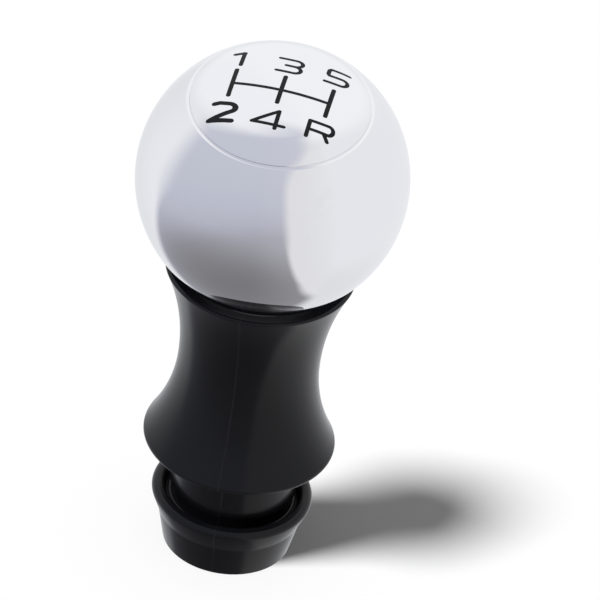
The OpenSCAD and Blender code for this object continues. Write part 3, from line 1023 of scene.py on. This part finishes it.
def level_axes():
    """The level directions to the camera's right and towards the camera."""
    right, _, back = camera_axes()
    return right, Vector((back.x, back.y, 0)).normalized()


def add_camera():
    """A long lens, aimed so that the ball's centre falls on its pixel in the photograph."""
    studio = settings().studio
    focal_px = studio.ball_px * studio.distance / settings().ball.radius
    middle = studio.frame_px / 2
    data = bpy.data.cameras.new("camera")
    data.sensor_width = studio.sensor
    data.lens = focal_px * studio.sensor / studio.frame_px
    data.clip_start, data.clip_end = studio.near, studio.far
    camera = add_object("camera", data)
    right, up, back = camera_axes()
    upright = Matrix((right, up, back)).transposed()
    to_ball = Vector(((studio.ball_px_x - middle) / focal_px, (middle - studio.ball_px_y) / focal_px, -1))
    aim = to_ball.rotation_difference(Vector((0, 0, -1))).to_matrix()
    turned = upright @ Matrix.Rotation(studio.roll, 3, "Z") @ aim
    camera.matrix_world = Matrix.LocRotScale(ball_centre() + back * studio.distance, turned, None)
    bpy.context.scene.camera = camera


def add_floor():
    """A plain pale floor that keeps the knob's shadow and isn't mirrored in the metal."""
    studio = settings().studio
    half = studio.floor_width / 2
    mesh = bpy.data.meshes.new("floor")
    corners = [(-half, -half, 0), (half, -half, 0), (half, half, 0), (-half, half, 0)]
    mesh.from_pydata(corners, [], [(0, 1, 2, 3)])
    floor = add_object("floor", mesh)
    material, s, place = new_material("pale_floor")
    ray = s.node("ShaderNodeLightPath").outputs["Is Camera Ray"]
    base = s.mix(s.noise(place, 40.0), tint(studio.floor), tint(studio.floor, 1.002))
    s.surface(Base_Color=base, Roughness=0.9, Specular_IOR_Level=0.0, Emission_Color=(1.0, 1.0, 1.0, 1.0),
              Emission_Strength=s.math("MULTIPLY", ray, studio.floor_glow))
    mesh.materials.append(material)
    floor.visible_glossy = False
    floor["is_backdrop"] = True


def add_key_light():
    """A large soft light from the left, which casts the shadow but isn't mirrored in the metal."""
    studio = settings().studio
    right, front = level_axes()
    level = front * math.cos(studio.key_azimuth) + right * math.sin(studio.key_azimuth)
    toward = level * math.cos(studio.key_elevation) + Vector((0, 0, math.sin(studio.key_elevation)))
    data = bpy.data.lights.new("key_light", "SUN")
    data.energy = studio.key
    data.angle = studio.key_width
    light = add_object("key_light", data)
    light.matrix_world = Matrix.LocRotScale(toward, toward.to_track_quat("Z", "Y"), None)
    light.visible_glossy = False


def srgb(level):
    """Linear light of a grey level between 0 and 255."""
    share = level / 255
    return share / 12.92 if share <= 0.04045 else ((share + 0.055) / 1.055) ** 2.4


def screen_tone(red, green, blue):
    """What the studio has to shine for the metal to show a tone."""
    metal = settings().finish.metal
    return tuple(srgb(level) / share for level, share in zip((red, green, blue), metal)) + (1.0,)


class Studio(Shader):
    """The world's nodes, for what the metal mirrors in each direction."""

    # Directions, by their shares to the camera's right, towards the camera and up
    UP, DOWN = (0, 0, 1), (0, 0, -1)
    SIDE = (1, -0.2, 0.1)
    OVERHEAD = (0, -0.75, 0.66)
    WALL_TOP = (-0.157, -0.35, 0.924)
    FLOOR = (-0.092, 0.23, -0.969)
    TOP_PATCH = (0.1, -0.72, 0.69)
    BEHIND = (0.8, -0.6, 0)

    # Round edges of the windows, each a direction and the cosine of the angle to the edge
    RIGHT_EDGE = (0.994, 0.019, 0.109, 0.278)
    RIGHT_LOW_EDGE = (0.493, -0.357, -0.793, -0.657)
    LEFT_EDGE = (-0.5, -0.865, 0.038, 0.568)
    TOP_EDGE = (-0.393, -0.645, 0.655, 0.774)

    # Tones that the metal shows: the grey wall's with their heights above its horizon, and the painted shade
    # of the floor below
    WALL_TONES = ((-0.7, (161, 161, 170)), (-0.6, (162, 163, 173)), (-0.4, (177, 179, 193)),
                  (-0.25, (183, 185, 199)), (-0.1, (186, 189, 203)), (0.1, (189, 192, 205)),
                  (0.6, (192, 195, 208)))
    # Painted shade: the grey that the metal mirrors below in place of the pale floor
    SHADED_FLOOR_TONE = (105, 104, 106)

    def __init__(self, tree):
        super().__init__(tree)
        self.right, self.front = level_axes()
        self.way = self.node("ShaderNodeTexCoord").outputs["Generated"]
        self.side = self.beyond(self.SIDE)
        self.rise = self.step(self.beyond(self.UP), -0.55, -0.2)

    def beyond(self, circle):
        """How far the mirrored direction lies inside a circle, or a half space where no edge is given."""
        right, front, up, *edge = circle
        middle = (self.right * right + self.front * front + Vector((0, 0, up))).normalized()
        return self.math("SUBTRACT", self.dot(self.way, tuple(middle)), edge[0] if edge else 0.0)

    def tones(self, share, first, second):
        """Blends two tones."""
        return self.mix(share, screen_tone(*first), screen_tone(*second))

    def wall(self):
        """The grey wall, darker below its horizon, and below it a painted shade where the metal would mirror
        the pale floor.
        """
        height = self.math("MULTIPLY_ADD", self.beyond(self.WALL_TOP), 0.5, 0.5)
        ramp = self.node("ShaderNodeValToRGB", {0: height})
        stops = ramp.color_ramp.elements
        while len(stops) < len(self.WALL_TONES):
            stops.new(0.5)
        for stop, (above, tone) in zip(stops, self.WALL_TONES):
            stop.position = above / 2 + 0.5
            stop.color = screen_tone(*tone)
        # Painted shade: towards the floor the metal mirrors a dark grey instead of the pale floor, which it
        # doesn't see
        floor = self.step(self.beyond(self.FLOOR), 0.483, 1.077, 0.0, 0.82)
        return self.mix(floor, ramp.outputs[0], screen_tone(*self.SHADED_FLOOR_TONE))

    def right_window(self):
        """The right window, which lies between two round edges: its share, its white and its brightest."""
        white = self.tones(self.step(self.side, 0.2, 0.95), (221, 221, 225), (230, 231, 235))
        wisps = self.noise(self.stretched(self.way, (1.0, 1.0, 2.5)), 2.2, 5.0, 0.6)
        white = self.mix(self.step(wisps, 0.5, 0.72, 0.0, 0.35), white, screen_tone(213, 214, 219))
        edge = self.math("SMOOTH_MIN", self.beyond(self.RIGHT_EDGE), self.beyond(self.RIGHT_LOW_EDGE), 0.15)
        edge = self.math("ADD", edge, self.step(self.beyond(self.DOWN), 0.86, 1.0, 0.0, 0.05))
        outer, inner = self.mix_value(self.rise, -0.055, -0.08), self.mix_value(self.rise, 0.025, 0.08)
        sharp, soft = self.step(edge, outer, inner, 0.0, 0.9), self.step(edge, -0.5, 0.05, 0.0, 0.1)
        return self.math("ADD", sharp, soft), white, (240, 240, 244)

    def left_window(self):
        """The left window, whose edge is sharp below and soft above, with the window overhead."""
        white = self.tones(self.step(self.side, -0.3, -0.95), (221, 223, 228), (229, 231, 236))
        outer, inner = self.mix_value(self.rise, -0.07, -0.22), self.mix_value(self.rise, 0.04, 0.16)
        left = self.step(self.beyond(self.LEFT_EDGE), outer, inner)
        edge = self.beyond(self.TOP_EDGE)
        sharp, soft = self.step(edge, -0.07, 0.08, 0.0, 0.65), self.step(edge, 0.02, 0.15, 0.0, 0.35)
        top = self.math("ADD", sharp, soft)
        top = self.math("MAXIMUM", top, self.step(self.beyond(self.TOP_PATCH), 0.84, 0.91))
        return self.math("MAXIMUM", left, top), white, (237, 238, 243)

    def back_wall(self):
        """The pale wall behind the knob, which its rims mirror."""
        white = self.tones(self.step(self.beyond(self.DOWN), 0.62, 0.9), (228, 229, 234), (219, 220, 223))
        return self.step(self.beyond(self.BEHIND), 0.26, 0.4), white, (239, 240, 244)


def add_studio_world():
    """A grey wall between white windows for the metal and the rubber to mirror, and a plain fill light."""
    world = bpy.data.worlds.new("studio")
    bpy.context.scene.world = world
    world.use_nodes = True
    # The mirrored studio differs from the fill light, so only rays that arrive see it
    world.cycles.sampling_method = "NONE"
    s = Studio(world.node_tree)
    overhead = s.step(s.beyond(s.OVERHEAD), 0.55, 0.85)
    tone = s.wall()
    for share, white, brightest in (s.right_window(), s.left_window(), s.back_wall()):
        tone = s.mix(share, tone, s.mix(overhead, white, screen_tone(*brightest)))
    rays = s.node("ShaderNodeLightPath").outputs
    mirrored = s.mix(rays["Is Glossy Ray"], tint((settings().studio.fill,) * 3), tone)
    seen = s.math("MAXIMUM", rays["Is Camera Ray"], rays["Is Transmission Ray"])
    shown = s.mix(seen, mirrored, (1.0, 1.0, 1.0, 1.0))
    background = s.node("ShaderNodeBackground", {0: shown, 1: 1.0})
    s.node("ShaderNodeOutputWorld", {0: background.outputs[0]})


class KNOB_OT_stage(bpy.types.Operator):
    """Set up the camera, the floor, the key light and the studio that the metal mirrors"""

    bl_idname = "gear_knob.stage"
    bl_label = "Stage"

    def execute(self, context):
        add_camera()
        add_floor()
        add_key_light()
        add_studio_world()
        context.scene.view_settings.view_transform = "Standard"
        return {"FINISHED"}


MAKERS = (KNOB_OT_ball, KNOB_OT_cap, KNOB_OT_paint, KNOB_OT_sleeve, KNOB_OT_core, KNOB_OT_insert,
          KNOB_OT_screw, KNOB_OT_stage)


class KNOB_PT_panel(bpy.types.Panel):
    """Lists the steps that build the knob"""

    bl_idname = "KNOB_PT_panel"
    bl_label = "Gear Knob"
    bl_space_type = "VIEW_3D"
    bl_region_type = "UI"
    bl_category = "Gear Knob"

    def draw(self, context):
        for maker in MAKERS:
            self.layout.operator(maker.bl_idname)


GROUPS = (BallSizes, CapSizes, MarkSizes, SleeveSizes, InnerSizes, FinishColours, StudioSettings,
          KnobSettings)
CLASSES = GROUPS + MAKERS + (KNOB_PT_panel,)


def register():
    """Makes the settings, the steps and the panel known to Blender."""
    for listed in CLASSES:
        bpy.utils.register_class(listed)
    bpy.types.Scene.gear_knob = PointerProperty(type=KnobSettings)


def unregister():
    """Takes them away again."""
    del bpy.types.Scene.gear_knob
    for listed in reversed(CLASSES):
        bpy.utils.unregister_class(listed)


def main():
    """Builds the knob and its stage."""
    register()
    bpy.ops.gear_knob.ball()
    bpy.ops.gear_knob.cap()
    bpy.ops.gear_knob.paint()
    bpy.ops.gear_knob.sleeve()
    bpy.ops.gear_knob.core()
    bpy.ops.gear_knob.insert()
    bpy.ops.gear_knob.screw()
    bpy.ops.gear_knob.stage()
    boxes = {"cad": cad_box, "visual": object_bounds()}
    {name: [list(end) for end in box] for name, box in boxes.items()}


if __name__ == "__main__":
    main()
